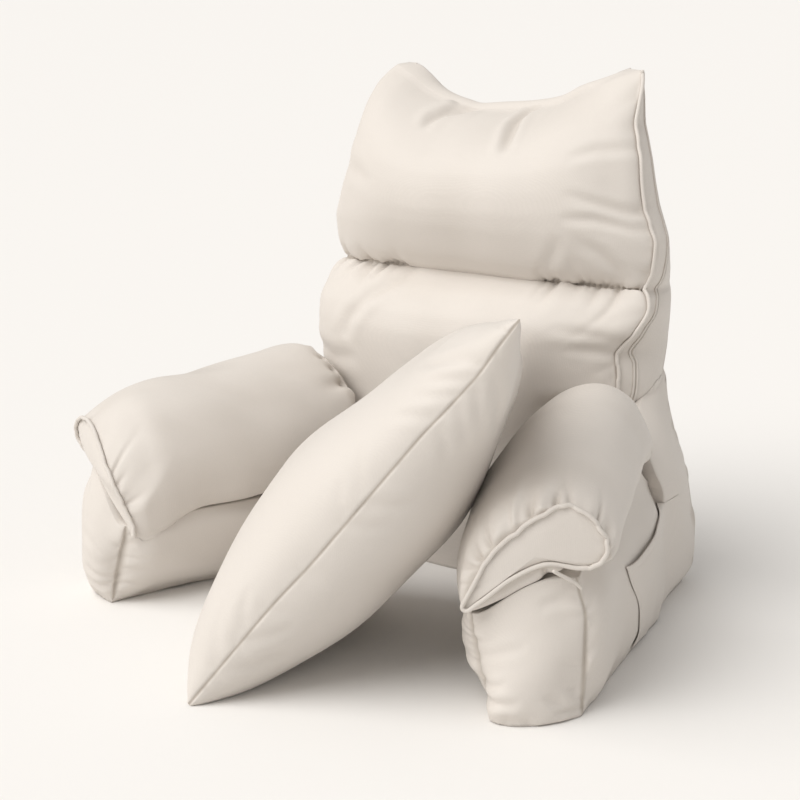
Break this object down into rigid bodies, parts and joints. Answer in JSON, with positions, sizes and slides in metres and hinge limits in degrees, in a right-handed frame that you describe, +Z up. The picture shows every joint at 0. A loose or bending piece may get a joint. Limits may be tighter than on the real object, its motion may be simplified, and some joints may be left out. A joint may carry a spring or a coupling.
{
  "type": "back support pillow with loose cushion",
  "caption": "Upright filled back support with splayed filled arms, arm rolls, a side pocket and a loose square cushion leaning on one arm.",
  "frame": {"origin": "middle of the overall box, on the surface that it stands on", "axes": "+Z up, the open seat side faces -Y, +X to the right when it is seen from the front"},
  "size_m": [0.8556, 0.7954, 0.7061],
  "materials": {
    "cloth": "smooth coated ivory cloth with a soft sheen",
    "welt": "corded welt in the same ivory cloth"
  },
  "bodies": {
    "root": {"back_cushion": "cloth", "back_welt_left": "welt", "back_welt_right": "welt", "back_wedge": "cloth", "arm_block_left": "cloth", "arm_block_right": "cloth", "arm_roll_left": "cloth", "arm_roll_right": "cloth", "roll_welt_left": "welt", "roll_welt_right": "welt", "pocket_right": "cloth", "tie_right": "welt", "loose_cushion": "cloth"}
  },
  "joints": []
}
